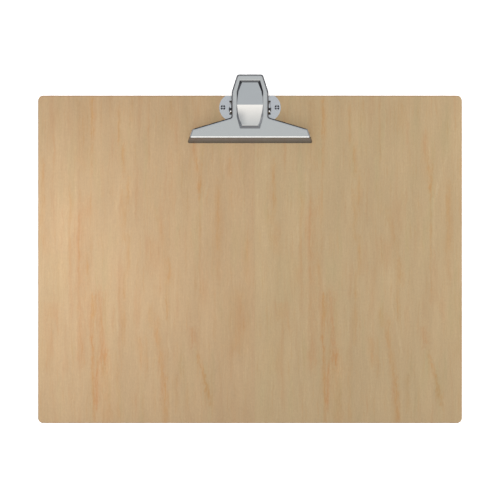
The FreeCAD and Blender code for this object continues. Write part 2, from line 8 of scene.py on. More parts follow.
import bmesh
import bpy
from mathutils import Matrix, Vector


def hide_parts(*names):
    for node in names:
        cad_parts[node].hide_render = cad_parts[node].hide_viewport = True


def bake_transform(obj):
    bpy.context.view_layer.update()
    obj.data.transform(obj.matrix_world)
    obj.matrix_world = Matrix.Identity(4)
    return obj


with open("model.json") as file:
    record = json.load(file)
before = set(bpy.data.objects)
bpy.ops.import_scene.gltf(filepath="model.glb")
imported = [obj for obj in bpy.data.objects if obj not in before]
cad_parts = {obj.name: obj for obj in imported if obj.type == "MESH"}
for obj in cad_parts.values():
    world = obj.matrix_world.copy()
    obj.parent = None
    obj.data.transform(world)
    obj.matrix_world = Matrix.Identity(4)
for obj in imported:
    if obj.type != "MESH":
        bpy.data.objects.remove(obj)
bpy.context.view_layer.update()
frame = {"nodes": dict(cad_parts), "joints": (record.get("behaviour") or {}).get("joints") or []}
nodes = frame["nodes"]
MM = 0.001


# ------------------------------------------------------------------ shader helpers
class Shader:
    """Builds one material's node tree with short calls; every value may be a socket or a number."""

    def __init__(self, name):
        self.material = bpy.data.materials.new(name)
        self.material.use_nodes = True
        self.tree = self.material.node_tree
        self.surface = next(n for n in self.tree.nodes if n.type == "BSDF_PRINCIPLED")
        self.place = None

    @classmethod
    def within(cls, tree):
        """The same short calls on a tree that already exists."""
        made = cls.__new__(cls)
        made.tree = tree
        made.place = None
        return made

    def node(self, kind, **settings):
        made = self.tree.nodes.new(kind)
        for key, value in settings.items():
            setattr(made, key, value)
        return made

    def feed(self, socket, value):
        if isinstance(value, bpy.types.NodeSocket):
            self.tree.links.new(value, socket)
        else:
            socket.default_value = value

    def math(self, operation, *values):
        made = self.node("ShaderNodeMath", operation=operation)
        for socket, value in zip(made.inputs, values):
            self.feed(socket, value)
        return made.outputs[0]

    def add(self, a, b):
        return self.math("ADD", a, b)

    def sub(self, a, b):
        return self.math("SUBTRACT", a, b)

    def mul(self, a, b):
        return self.math("MULTIPLY", a, b)

    def div(self, a, b):
        return self.math("DIVIDE", a, b)

    def step(self, value, low, high, start=0.0, stop=1.0):
        """A smooth step of value from start at low to stop at high."""
        made = self.node("ShaderNodeMapRange", interpolation_type="SMOOTHSTEP")
        for socket, given in zip(made.inputs, (value, low, high, start, stop)):
            self.feed(socket, given)
        return made.outputs[0]

    def step_linear(self, value, low, high):
        """A straight rise of value from 0 at low to 1 at high."""
        made = self.node("ShaderNodeMapRange", clamp=True)
        for socket, given in zip(made.inputs, (value, low, high, 0.0, 1.0)):
            self.feed(socket, given)
        return made.outputs[0]

    def bump_line(self, value, centre, width):
        """1 on a line, falling to 0 about one width away."""
        off = self.div(self.sub(value, centre), width)
        return self.math("EXPONENT", self.mul(self.mul(off, off), -1.0))

    def point(self):
        if self.place is None:
            coords = self.node("ShaderNodeTexCoord")
            self.place = coords.outputs["Object"]
        return self.place

    def split(self, vector):
        made = self.node("ShaderNodeSeparateXYZ")
        self.feed(made.inputs[0], vector)
        return made.outputs

    def join(self, x, y, z):
        made = self.node("ShaderNodeCombineXYZ")
        for socket, value in zip(made.inputs, (x, y, z)):
            self.feed(socket, value)
        return made.outputs[0]

    def noise(self, vector, scale=1.0, detail=2.0, roughness=0.5, distortion=0.0):
        made = self.node("ShaderNodeTexNoise")
        self.feed(made.inputs["Vector"], vector)
        made.inputs["Scale"].default_value = scale
        made.inputs["Detail"].default_value = detail
        made.inputs["Roughness"].default_value = roughness
        made.inputs["Distortion"].default_value = distortion
        return made.outputs[0]

    def ramp(self, value, stops):
        made = self.node("ShaderNodeValToRGB")
        elements = made.color_ramp.elements
        while len(elements) < len(stops):
            elements.new(0.5)
        for element, (at, colour) in zip(elements, stops):
            element.position = at
            element.color = (*colour, 1.0)
        self.feed(made.inputs[0], value)
        return made.outputs[0]

    def mix(self, factor, a, b, blend="MIX"):
        made = self.node("ShaderNodeMix", data_type="RGBA", blend_type=blend)
        self.feed(made.inputs[0], factor)
        for socket, value in ((made.inputs[6], a), (made.inputs[7], b)):
            if isinstance(value, tuple) and len(value) == 3:
                value = (*value, 1.0)
            self.feed(socket, value)
        return made.outputs[2]

    def bump(self, height, distance, strength=1.0, under=None):
        """A bumped normal; under is the normal that it starts from, when there is one already."""
        made = self.node("ShaderNodeBump")
        made.inputs["Strength"].default_value = strength
        made.inputs["Distance"].default_value = distance
        self.feed(made.inputs["Height"], height)
        if under is not None:
            self.feed(made.inputs["Normal"], under)
        return made.outputs[0]

    def away_from(self, value, centre):
        return self.math("ABSOLUTE", self.sub(value, centre))

    def finish(self, **values):
        """Sets the surface's sockets by their plain names."""
        for key, value in values.items():
            self.feed(self.surface.inputs[key.replace("_", " ")], value)
        return self.material


def srgb(r, g, b):
    """A colour given as 0-255 screen values, as the linear values that Blender works in."""
    return tuple(
        c / 12.92 if c <= 0.04045 else ((c + 0.055) / 1.055) ** 2.4
        for c in (v / 255.0 for v in (r, g, b))
    )


# ------------------------------------------------------------------ wood
# All sizes here are in mm. Two leaves of the same veneer lie side by side, so the figure repeats.
LEAF_WIDE = 239.7
JOINT_X = 5.0  # where the leaves meet on the drawing face
BACK_JOINT_X = -31.0
LEAF_NUDGE = 0.22  # moves the noise a little from leaf to leaf, so they aren't exact twins

# Strokes of figure on one leaf: (across, up) of the top end, (across, up) of the low end,
# half width, then how orange, rosy, pale and grey-green the stroke is.
STROKES = [
    ((71.0, 168), (71.0, 128), 1.9, 0.95, 0.10, 0.0, 0.0),
    ((71.5, 128), (70.5, 88), 1.5, 0.45, 0.10, 0.0, 0.0),
    ((69.5, 88), (68.8, 8), 1.1, 0.35, 0.0, 0.0, 0.0),
    ((66.0, 2), (67.0, -24), 1.8, 0.40, 0.0, 0.0, 0.0),
    ((71.8, -36), (72.0, -62), 2.0, 0.90, 0.10, 0.0, 0.0),
    ((70.0, -62), (73.5, -172), 1.8, 0.60, 0.25, 0.0, 0.0),
    ((76.0, -110), (75.5, -152), 2.0, 0.30, 0.80, 0.0, 0.0),
    ((60.0, 168), (60.0, 96), 6.5, 0.22, 0.0, 0.0, 0.0),
    ((60.0, 60), (60.0, -112), 6.8, 0.08, 0.34, 0.0, 0.0),
    ((53.6, 160), (54.4, -112), 0.9, 0.0, 0.0, 0.45, 0.0),
    ((57.5, 160), (57.0, -60), 0.8, 0.10, 0.10, 0.0, 0.0),
    ((78.5, -34), (82.0, -112), 5.6, 0.16, 0.52, 0.0, 0.0),
    ((83.0, -95), (87.0, -172), 7.0, 0.30, 0.22, 0.0, 0.0),
    ((97.5, -112), (99.0, -172), 2.0, 0.35, 0.05, 0.0, 0.0),
    ((98.8, 160), (98.6, 118), 1.5, 0.42, 0.20, 0.0, 0.0),
    ((112.5, 168), (111.0, 140), 1.5, 0.35, 0.05, 0.0, 0.0),
    ((103.8, 120), (103.6, 88), 2.2, 0.55, 0.15, 0.0, 0.0),
    ((108.4, 88), (108.0, 56), 1.6, 0.60, 0.0, 0.0, 0.0),
    ((103.2, 70), (104.2, 18), 2.3, 0.42, 0.0, 0.0, 0.0),
    ((108.6, 22), (108.2, -16), 1.7, 0.62, 0.10, 0.0, 0.0),
    ((105.0, -16), (103.8, -86), 2.2, 0.40, 0.0, 0.0, 0.0),
    ((96.8, 70), (97.0, -74), 1.0, 0.0, 0.0, 0.42, 0.0),
    ((111.5, 10), (111.5, -40), 1.4, 0.0, 0.0, 0.20, 0.15),
    ((129.8, 168), (129.8, 98), 1.1, 0.30, 0.18, 0.0, 0.0),
    ((134.8, 168), (134.4, 96), 0.9, 0.0, 0.0, 0.40, 0.10),
    ((153.2, 164), (153.0, 136), 3.0, 0.34, 0.0, 0.0, 0.0),
    ((159.0, 144), (158.6, 118), 1.8, 0.10, 0.30, 0.0, 0.0),
    ((176.8, 132), (177.0, 112), 2.6, 0.18, 0.40, 0.0, 0.0),
    ((177.5, 112), (182.6, 70), 2.4, 0.48, 0.12, 0.0, 0.0),
    ((184.0, 98), (183.0, 66), 1.6, 0.40, 0.28, 0.0, 0.0),
    ((198.0, 102), (191.0, 84), 1.3, 0.0, 0.0, 0.50, 0.10),
    ((191.0, 84), (185.8, 56), 1.3, 0.0, 0.0, 0.60, 0.10),
    ((185.8, 58), (185.4, -30), 1.1, 0.0, 0.0, 0.55, 0.0),
    ((182.6, 66), (182.8, -40), 1.0, 0.40, 0.10, 0.0, 0.0),
    ((201.5, 80), (201.0, 4), 3.4, 0.46, 0.06, 0.0, 0.0),
    ((200.0, 2), (203.0, -24), 3.4, 0.14, 0.22, 0.0, 0.0),
    ((133.0, 22), (134.0, -10), 6.0, 0.10, 0.30, 0.0, 0.0),
    ((137.0, 52), (148.0, 8), 3.6, 0.30, 0.05, 0.0, 0.0),
    ((148.0, 2), (152.0, -24), 3.4, 0.46, 0.12, 0.0, 0.0),
    ((147.5, -24), (149.0, -62), 1.8, 0.50, 0.0, 0.0, 0.0),
    ((141.0, -14), (143.0, -60), 1.4, 0.0, 0.0, 0.45, 0.10),
    ((146.0, -62), (153.5, -104), 1.2, 0.0, 0.0, 0.52, 0.0),
    ((131.5, -48), (132.0, -70), 2.8, 0.34, 0.0, 0.0, 0.0),
    ((137.0, -62), (141.0, -104), 2.6, 0.52, 0.18, 0.0, 0.0),
    ((141.0, -104), (147.5, -136), 2.6, 0.62, 0.10, 0.0, 0.0),
    ((147.0, -134), (147.5, -172), 3.2, 0.70, 0.12, 0.0, 0.0),
    ((144.0, -122), (142.5, -146), 1.4, 0.0, 0.55, 0.0, 0.0),
    ((135.5, -98), (131.0, -130), 1.3, 0.0, 0.0, 0.48, 0.10),
    ((136.0, -98), (138.5, -150), 1.6, 0.0, 0.0, 0.40, 0.25),
    ((120.0, -80), (123.0, -112), 3.0, 0.30, 0.20, 0.0, 0.0),
    ((122.5, -96), (121.0, -144), 1.0, 0.0, 0.0, 0.42, 0.0),
    ((127.5, -84), (127.0, -122), 1.0, 0.36, 0.10, 0.0, 0.0),
    ((152.5, -116), (152.5, -156), 1.0, 0.0, 0.0, 0.42, 0.0),
    ((158.5, -120), (158.0, -158), 2.2, 0.32, 0.08, 0.0, 0.0),
    ((163.6, -112), (163.0, -154), 1.0, 0.0, 0.0, 0.35, 0.0),
    ((175.5, -70), (177.0, -90), 4.2, 0.05, 0.62, 0.0, 0.0),
    ((180.5, -96), (184.5, -112), 2.0, 0.45, 0.16, 0.0, 0.0),
    ((185.0, -112), (194.5, -152), 2.3, 0.62, 0.22, 0.0, 0.0),
    ((176.0, -102), (170.0, -150), 4.4, 0.0, 0.0, 0.10, 0.42),
    ((170.0, -30), (168.0, -96), 2.0, 0.0, 0.0, 0.26, 0.14),
    ((19.6, 104), (20.4, 50), 1.7, 0.62, 0.06, 0.0, 0.0),
    ((14.5, 50), (24.0, 4), 5.4, 0.24, 0.06, 0.0, 0.0),
    ((35.0, 4), (33.0, -46), 14.0, 0.0, 0.0, 0.0, 0.55),
    ((27.0, -46), (27.0, -62), 6.5, 0.26, 0.06, 0.0, 0.0),
    ((22.0, -62), (20.0, -118), 12.0, 0.10, 0.0, 0.0, 0.16),
    ((48.0, 70), (47.6, -12), 1.7, 0.34, 0.04, 0.10, 0.0),
    ((44.5, 60), (44.6, -10), 0.9, 0.0, 0.0, 0.30, 0.0),
    ((38.0, 84), (38.4, 56), 4.0, 0.0, 0.0, 0.0, 0.40),
    ((8.0, -30), (6.0, -60), 1.0, 0.0, 0.0, 0.40, 0.0),
    ((46.0, -118), (40.0, -168), 5.0, 0.0, 0.0, 0.30, 0.12),
    ((12.0, -110), (6.0, -160), 4.0, 0.0, 0.0, 0.18, 0.22),
    ((228.5, 66), (228.0, 34), 2.6, 0.0, 0.0, 0.44, 0.28),
    ((213.5, 104), (214.5, 86), 1.8, 0.44, 0.0, 0.0, 0.0),
    ((231.5, 20), (232.0, -24), 3.0, 0.36, 0.0, 0.0, 0.0),
    ((223.0, -32), (222.0, -98), 12.0, 0.26, 0.0, 0.0, 0.22),
    ((219.5, -80), (220.5, -114), 1.3, 0.0, 0.0, 0.42, 0.0),
    ((231.0, -110), (228.5, -150), 2.4, 0.0, 0.0, 0.38, 0.42),
    ((152.0, 70), (170.0, 24), 7.0, 0.0, 0.0, 0.06, 0.30),
    ((164.0, 94), (166.0, 74), 9.0, 0.0, 0.0, 0.0, 0.32),
    ((116.0, 128), (117.0, 100), 3.0, 0.0, 0.0, 0.10, 0.26),
    ((95.0, -36), (96.0, -108), 5.0, 0.0, 0.0, 0.10, 0.24),
    ((82.0, 2), (84.0, -30), 5.0, 0.0, 0.0, 0.0, 0.34),
]
# the pale arch low on each leaf, where a growth cone is cut through
ARCH_X, ARCH_TOP, ARCH_CURVE = 86.8, -113.0, 0.75
ARCH_LINE = 7.0  # how broad the arch's line is
ARCH_HALF = (5.0, 7.5)  # how far out the arch begins to fade, and where it has gone
ARCH_STRENGTH = 0.55

# what a full stroke of each kind does to the wood's colour, as a multiplier
ORANGE = (0.985, 0.860, 0.700)
ROSY = (0.970, 0.835, 0.760)
PALE = (1.060, 1.085, 1.120)
GREEN = (0.955, 0.995, 0.965)
WOOD = srgb(184, 157, 121)
LEFT_LEAF, RIGHT_LEAF = (0.884, 0.865, 0.861), (0.911, 0.930, 0.923)  # the left is a touch rosier
GLUE_LINE = srgb(140, 108, 74)
GLUE_HALF, GLUE_STRENGTH = 0.10, 0.18
EDGE_SHADE = srgb(128, 100, 70)
# painted shade for the wood seen through the base plate's windows
WINDOW_SHADE = srgb(48, 46, 44)
STRENGTH = 0.95
STROKE_SOFT_END = 9.0  # or 0.6 of its half length, on a short stroke

BOARD_HALF = (220.0, 170.0)
EDGE_IN = 1.1  # the painted shade along the rounded edge starts this far in
WINDOW_X, WINDOW_HALF = 18.5, (4.0, 9.6)  # the base plate's windows, which bare the wood
HINGE_Y = 155.3

STROKE_SOCKETS = ("Across", "Along", "Slope", "Start", "Width", "Middle", "Inner", "Outer")


def stroke_group():
    """One stroke of figure as a node group, so the wood's tree stays small."""
    tree = bpy.data.node_groups.new("figure_stroke", "ShaderNodeTree")
    for name in STROKE_SOCKETS:
        tree.interface.new_socket(name, in_out="INPUT", socket_type="NodeSocketFloat")
    tree.interface.new_socket("Stroke", in_out="OUTPUT", socket_type="NodeSocketFloat")
    s = Shader.within(tree)
    given = s.node("NodeGroupInput").outputs
    across, along, slope, start, width, middle, inner, outer = given[:8]
    line = s.bump_line(across, s.math("MULTIPLY_ADD", along, slope, start), width)
    away = s.away_from(along, middle)
    s.feed(s.node("NodeGroupOutput").inputs[0], s.mul(line, s.step(away, inner, outer, 1.0, 0.0)))
    return tree


stroke_tree = stroke_group()


def figure(s, bent, frayed, along):
    """How orange, rosy, pale and grey-green the strokes and the arch make the wood."""
    sums = [0.0, 0.0, 0.0, 0.0]
    for (top_u, top), (low_u, low), width, *kinds in STROKES:
        # a straight centre line from the top end to the low end
        slope = (top_u - low_u) / (top - low)
        half = (top - low) / 2
        soft = min(STROKE_SOFT_END, 0.6 * half)
        line = s.node("ShaderNodeGroup")
        line.node_tree = stroke_tree
        start = low_u - slope * low
        middle = (top + low) / 2
        given = (bent, frayed, slope, start, width, middle, half - soft, half + soft)
        for socket, value in zip(line.inputs, given):
            s.feed(socket, value)
        for k, kind in enumerate(kinds):
            if kind:
                sums[k] = s.add(sums[k], s.mul(line.outputs[0], kind))

    off = s.sub(bent, ARCH_X)
    depth = s.sub(s.sub(ARCH_TOP, along), s.div(s.mul(off, off), ARCH_CURVE))
    arch = s.mul(s.bump_line(depth, 0.0, ARCH_LINE), s.step(s.math("ABSOLUTE", off), *ARCH_HALF, 1.0, 0.0))
    orange, rosy, pale, green = sums
    return orange, rosy, s.add(pale, s.mul(arch, ARCH_STRENGTH)), green


def outside_box(s, x, y, half_x, half_y):
    """How far outside a box about 0 a place is; negative inside it."""
    return s.math("MAXIMUM", s.sub(s.math("ABSOLUTE", x), half_x), s.sub(s.math("ABSOLUTE", y), half_y))


def veneer(name, front):
    """Sliced pale hardwood: two matched leaves with faint orange flames, pale lines and fine fibre."""
    s = Shader(name)
    x, y, _ = s.split(s.point())
    to_mm = 1000.0 if front else -1000.0  # the back has the front's figure, turned round
    across = s.mul(x, to_mm)
    along = s.mul(y, to_mm)
    joint_x = JOINT_X if front else BACK_JOINT_X
    shifted = s.sub(across, joint_x)
    leaf = s.math("FLOOR", s.div(shifted, LEAF_WIDE))
    u = s.sub(shifted, s.mul(leaf, LEAF_WIDE))
    side = s.mul(leaf, LEAF_NUDGE)

    def grain(place, width, length, shift=0.0, detail=2.0, rough=0.6):
        """Noise drawn out along the grain, with spots about width by length."""
        where = s.join(s.div(place, width), s.div(along, length), s.add(side, shift))
        return s.noise(where, 1.0, detail, rough)

    # the grain wavers, and the ends of the strokes fray
    waver = grain(u, 9.0, 17.0)
    jag = grain(u, 2.4, 5.0, detail=1.0, rough=0.5)
    bent = s.add(u, s.add(s.mul(s.sub(waver, 0.5), 4.6), s.mul(s.sub(jag, 0.5), 1.5)))
    frayed = s.add(along, s.mul(s.sub(jag, 0.5), 26.0))

    breaks = grain(bent, 1.6, 13.0, rough=0.65)
    broken = s.step(breaks, 0.28, 0.68, 0.40, 1.75)  # strokes break up along their length
    thin = grain(bent, 1.5, 42.0, 5.0)
    broad = grain(bent, 16.0, 85.0, 9.0, rough=0.55)
    clouds = grain(bent, 8.5, 80.0, 3.7)
    fibre = grain(bent, 0.9, 9.0, rough=0.65)
    pores = grain(bent, 0.25, 1.9, detail=1.0, rough=0.5)
    fleck = grain(bent, 1.8, 2.2, 7.0)

    orange, rosy, pale, green = figure(s, bent, frayed, along)
    orange = s.add(s.mul(orange, broken), s.step(thin, 0.52, 0.74, 0.0, 0.50))
    rosy = s.add(s.mul(rosy, broken), s.step(clouds, 0.53, 0.74, 0.0, 0.50))
    pale = s.add(s.mul(pale, broken), s.step(thin, 0.48, 0.26, 0.0, 0.75))
    green = s.add(green, s.step(clouds, 0.48, 0.26, 0.0, 0.85))

    # light and dark by fibre, pores, flecks and broad clouding, about the wood's mean tone
    value = 1.0
    for noise, depth in ((fibre, 0.16), (pores, 0.06), (fleck, 0.17), (broad, 0.21)):
        value = s.add(value, s.mul(s.sub(noise, 0.5), depth))
    tone = s.mix(1.0, WOOD, s.join(value, value, value), "MULTIPLY")
    for amount, tint in ((orange, ORANGE), (rosy, ROSY), (pale, PALE), (green, GREEN)):
        tinted = s.mix(1.0, tone, tint, "MULTIPLY")
        tone = s.mix(s.math("MINIMUM", s.mul(amount, STRENGTH), 1.0), tone, tinted)
    leaf_tone = s.mix(s.step(across, joint_x - 1.0, joint_x + 1.0), LEFT_LEAF, RIGHT_LEAF)
    tone = s.mix(1.0, tone, leaf_tone, "MULTIPLY")
    seam = s.mul(s.bump_line(across, joint_x, GLUE_HALF), GLUE_STRENGTH)
    tone = s.mix(seam, tone, GLUE_LINE)
    if front:
        # painted shade where the base plate's windows leave the wood open, for the shadow under the plate
        clear = outside_box(
            s, s.sub(s.math("ABSOLUTE", across), WINDOW_X), s.sub(along, HINGE_Y), *WINDOW_HALF
        )
        tone = s.mix(s.step(clear, 0.5, -0.3, 0.0, 0.97), tone, WINDOW_SHADE)
    edge = outside_box(s, across, along, BOARD_HALF[0] - EDGE_IN, BOARD_HALF[1] - EDGE_IN)
    # painted shade along the board's rounded edge
    tone = s.mix(s.step(edge, -0.4, 0.7, 0.0, 0.30), tone, EDGE_SHADE)

    relief = s.add(s.mul(fibre, 0.6), s.mul(pores, 0.4))
    gloss = s.add(0.46, s.mul(s.sub(fibre, 0.5), 0.12))
    s.surface.inputs["Specular IOR Level"].default_value = 0.35
    return s.finish(Base_Color=tone, Roughness=gloss, Normal=s.bump(relief, 0.00005, 0.3))


def end_grain_core():
    """The middle ply, whose grain runs across the board, darker where the saw has cut it."""
    s = Shader("core_ply_wood")
    x, y, z = s.split(s.point())
    streak = s.noise(s.join(s.mul(x, 22.0), s.mul(y, 900.0), s.mul(z, 2600.0)), 1.0, 3.0, 0.6)
    speck = s.noise(s.join(s.mul(x, 2400.0), s.mul(y, 2400.0), s.mul(z, 2400.0)), 1.0, 2.0)
    dark = s.add(s.mul(streak, 0.7), s.mul(speck, 0.3))
    tone = s.ramp(dark, [
        (0.25, srgb(132, 96, 62)), (0.5, srgb(164, 126, 84)), (0.75, srgb(190, 152, 108)),
    ])
    return s.finish(Base_Color=tone, Roughness=0.72, Normal=s.bump(dark, 0.00012, 0.5))


# ------------------------------------------------------------------ metal
DRAWN = (126.0, 3360.0, 3360.0)  # how fine the drawing lines are along x, y and z
WORN = 0.5  # how much the scuffs show


def plated(name, colour, rough, grain=1.0, form=None):
    """Barrel-plated nickel: cloudy sheen, fine drawing lines and small scuffs.

    form(s, x, y, z), in mm, gives a shade that multiplies the colour, and a height in metres or None.
    """
    s = Shader(name)
    spot = s.point()
    x, y, z = s.split(spot)
    cloud = s.noise(spot, 55.0, 3.0, 0.55)
    dust = s.noise(spot, 900.0, 2.0, 0.5)
    drawn = s.noise(s.join(*(s.mul(c, k) for c, k in zip((x, y, z), DRAWN))), 1.0, 2.0, 0.6)
    scuff = s.noise(s.join(s.mul(x, 700.0), s.mul(y, 90.0), s.mul(z, 300.0)), 1.0, 3.0, 0.7, 0.6)
    scratch = s.step(scuff, 0.66, 0.72)
    tone = s.mix(s.mul(cloud, 0.5), colour, tuple(c * 0.93 for c in colour))
    tone = s.mix(s.mul(scratch, 0.22 * WORN), tone, tuple(min(1.0, c * 1.12) for c in colour))
    sheen = s.add(rough, s.mul(s.sub(cloud, 0.5), 0.10))
    sheen = s.add(sheen, s.mul(s.sub(drawn, 0.5), 0.08 * grain))
    sheen = s.add(sheen, s.mul(scratch, 0.08 * WORN))
    relief = s.add(s.mul(drawn, 0.6 * grain), s.mul(dust, 0.3))
    normal = None
    if form:
        shade, height = form(s, *(s.mul(c, 1000.0) for c in (x, y, z)))
        tone = s.mix(1.0, tone, shade, "MULTIPLY")
        if height is not None:
            normal = s.bump(height, 1.0)
    normal = s.bump(relief, 0.000012, 0.5, under=normal)
    s.surface.inputs["Metallic"].default_value = 1.0
    return s.finish(Base_Color=tone, Roughness=sheen, Normal=normal)


# Places on the lever, in mm, and the slope that makes a flank of it. A pair is where a painted
# shade or painted reflection starts to change and where it has changed.
TILT = math.radians(10)
RIDGE_Y, FACET_Y = 160.2, 139.2  # where the lower facet of the grip's hollow begins and ends
FACET_HALF, FACET_SPREAD = 9.0, 5.0  # its half width at the foot, and what the ridge adds
FACET_SLOPE = 0.105
FLANK = (0.90, 0.74)  # cosines of how far a surface leans from the lever's plane, over which the painted flank shade comes in
TIP_X, TIP_TOP, TIP_FOOT = (56.5, 58.5), (136.5, 134.5), (126.6, 127.2)
HOLLOW_HALF, HOLLOW_TOP, HOLLOW_FOOT = (16.5, 15.0), (185.5, 184.5), (133.0, 134.0)
CORNER_X, CORNER_END = (-3.0, 8.0), (171.0, 167.0)
TOP_WALL, FOOT_WALL = (181.0, 182.5), (140.5, 139.5)
OUTLINE_X, LIP_BEND = (-5.0, 5.0), (126.9, 126.2)
FACET_SHADE_X, FACET_SHADE_Y = (-1.0, -14.0), (158.0, 147.0)
LIP, LIP_LOW = (125.9, 125.2), (125.2, 120.2)

# painted shade and painted reflection on its parts, as multipliers of the nickel's colour
PLAIN = (1.0, 1.0, 1.0)
LEFT_CORNER_SHADE, RIGHT_CORNER_SHADE = (0.36, 0.37, 0.39), (0.09, 0.09, 0.10)
TOP_WALL_SHADE = (0.16, 0.165, 0.175)
SIDE_WALL_SHADE, FOOT_WALL_SHADE = (0.76, 0.77, 0.78), (0.90, 0.90, 0.90)
LEFT_OUTLINE_SHADE, RIGHT_OUTLINE_SHADE = (0.14, 0.15, 0.17), (0.22, 0.23, 0.25)
LIP_FLANK_SHADE = (0.31, 0.315, 0.33)
FACET_PAINTED_SHADE = (0.56, 0.58, 0.61)
LIP_TOP_PAINTED_REFLECTION, LIP_LOW_PAINTED_SHADE = (1.32, 1.37, 1.54), (0.84, 0.86, 0.85)

# the rivets' stars and the hinge pin's ends, in mm
RIVET_X, RIVET_Y = 28.0, 157.55
SLIT_DEEP, SLIT_WIDE = (5.95, 5.65), (1.5, 1.15)
HOLLOW_RIM = (0.95, 1.15)
STAR_RIM = (2.7, 2.5)
PIN_END, PIN_LOW = 1.2, 8.6
# painted shade in the rivets' slits, and on the plate under them and round the pin's ends
SLIT_SHADE, PLATE_SHADE = (0.04, 0.04, 0.05), (0.06, 0.06, 0.07)


def flank_painted_shade(s, x, y):
    """The painted shade of a steep flank: on the outline's rim, the lip, or one of the hollow's walls."""
    half = s.math("ABSOLUTE", x)
    hollow = s.mul(s.step(half, *HOLLOW_HALF), s.step(y, *HOLLOW_TOP))
    hollow = s.mul(hollow, s.step(y, *HOLLOW_FOOT))
    # walls holds the painted shade of the hollow's walls
    walls = s.mix(s.step(x, *CORNER_X), LEFT_CORNER_SHADE, RIGHT_CORNER_SHADE)
    walls = s.mix(s.step(y, *TOP_WALL), walls, TOP_WALL_SHADE)
    walls = s.mix(s.step(y, *CORNER_END), walls, SIDE_WALL_SHADE)
    walls = s.mix(s.step(y, *FOOT_WALL), walls, FOOT_WALL_SHADE)
    outline_shade = s.mix(s.step(x, *OUTLINE_X), LEFT_OUTLINE_SHADE, RIGHT_OUTLINE_SHADE)
    outline_shade = s.mix(s.step(y, *LIP_BEND), outline_shade, LIP_FLANK_SHADE)
    return s.mix(hollow, outline_shade, walls)


def lever_form(s, x, y, z):
    """The dish of the hollow's lower facet, and painted shade on the flanks, hollow, facet corner and lip,
    with a painted reflection at the lip's top.
    """
    up = s.step_linear(y, FACET_Y, RIDGE_Y)
    dish = s.mul(s.mul(up, s.sub(s.mul(up, 0.5), 0.5)), FACET_SLOPE * (RIDGE_Y - FACET_Y) * MM)
    side = s.sub(s.math("ABSOLUTE", x), s.add(FACET_HALF, s.mul(up, FACET_SPREAD)))
    dish = s.mul(dish, s.step(side, 0.0, 1.5, 1.0, 0.0))

    slope = s.node("ShaderNodeVectorMath", operation="DOT_PRODUCT")
    s.feed(slope.inputs[0], s.node("ShaderNodeTexCoord").outputs["Normal"])
    slope.inputs[1].default_value = (0.0, -math.sin(TILT), math.cos(TILT))
    wing_tip = s.mul(s.step(s.math("ABSOLUTE", x), *TIP_X), s.step(y, *TIP_TOP))
    wing_tip = s.mul(wing_tip, s.step(y, *TIP_FOOT))
    flank_shade_mask = s.mul(s.step(slope.outputs["Value"], *FLANK), s.sub(1.0, wing_tip))
    shade = s.mix(flank_shade_mask, PLAIN, flank_painted_shade(s, x, y))

    # painted shade: the dished facet is darker towards its lower left corner
    facet_shade_mask = s.mul(s.step(x, *FACET_SHADE_X), s.step(y, *FACET_SHADE_Y))
    facet_shade_mask = s.mul(facet_shade_mask, s.mul(s.step(side, 0.3, -0.3), s.step(y, FACET_Y, FACET_Y + 0.6)))
    shade = s.mix(facet_shade_mask, shade, FACET_PAINTED_SHADE)
    # painted reflection, lighter and bluish, at the lip's top, and painted shade lower down the lip
    lip_painted_light = s.mix(s.step(y, *LIP), PLAIN, LIP_TOP_PAINTED_REFLECTION)
    lip_painted_light = s.mix(s.step(y, *LIP_LOW), lip_painted_light, LIP_LOW_PAINTED_SHADE)
    return s.mix(1.0, shade, lip_painted_light, "MULTIPLY"), dish


def from_rivet(s, x, y):
    """Where a place lies from the nearer rivet's axis, across, along and by radius."""
    off_x = s.sub(s.math("ABSOLUTE", x), RIVET_X)
    off_y = s.sub(y, RIVET_Y)
    return off_x, off_y, s.math("SQRT", s.add(s.mul(off_x, off_x), s.mul(off_y, off_y)))


def rivet_form(s, x, y, z):
    """Painted shade in the slits between the rolled petals."""
    off_x, off_y, radius = from_rivet(s, x, y)
    diagonal = s.math("ABSOLUTE", s.sub(s.math("ABSOLUTE", off_x), s.math("ABSOLUTE", off_y)))
    # the painted shade spills a little over the petals' edges
    slit_shade = s.math("MAXIMUM", s.step(z, *SLIT_DEEP), s.step(diagonal, *SLIT_WIDE))
    slit_shade = s.mul(slit_shade, s.step(radius, *HOLLOW_RIM))
    return s.mix(slit_shade, PLAIN, SLIT_SHADE), None


def plate_form(s, x, y, z):
    """Painted shade on the base plate where the rivets' slits show it, and round the ends of the pin."""
    _, _, radius = from_rivet(s, x, y)
    under = s.step(radius, *STAR_RIM)
    pin_shade_reach = s.math("MAXIMUM", s.sub(s.away_from(y, HINGE_Y), PIN_END), s.sub(PIN_LOW, z))
    painted_shade = s.math("MAXIMUM", under, s.step(pin_shade_reach, 0.5, 0.0))
    return s.mix(painted_shade, PLAIN, PLATE_SHADE), None


def dress(node, *materials):
    for slot, material in zip(nodes[node].material_slots, materials):
        slot.material = material


NICKEL = (0.80, 0.805, 0.81)
front_wood = veneer("front_veneer", True)
back_wood = veneer("back_veneer", False)
core_wood = end_grain_core()
lever_nickel = plated("lever_nickel", NICKEL, 0.19, form=lever_form)
plate_nickel = plated("plate_nickel", (0.93, 0.935, 0.95), 0.20, form=plate_form)
rivet_nickel = plated("rivet_nickel", (0.95, 0.96, 0.99), 0.15, 0.4, form=rivet_form)
pin_steel = plated("pin_steel", (0.10, 0.10, 0.105), 0.36, 0.6)
wire_steel = plated("wire_steel", (0.52, 0.52, 0.53), 0.30, 0.5)

dress("front_ply", front_wood)
dress("core_ply", core_wood)
dress("back_ply", back_wood)
dress("clamp_lever", lever_nickel)
dress("base_plate", plate_nickel)
dress("rivet_left", rivet_nickel)
dress("rivet_right", rivet_nickel)
dress("hinge_pin", pin_steel)


# ------------------------------------------------------------------ torsion spring
WIRE_SIDES = 20
END_SOFT = 0.3  # length of a wire end's rounding, in wire radii


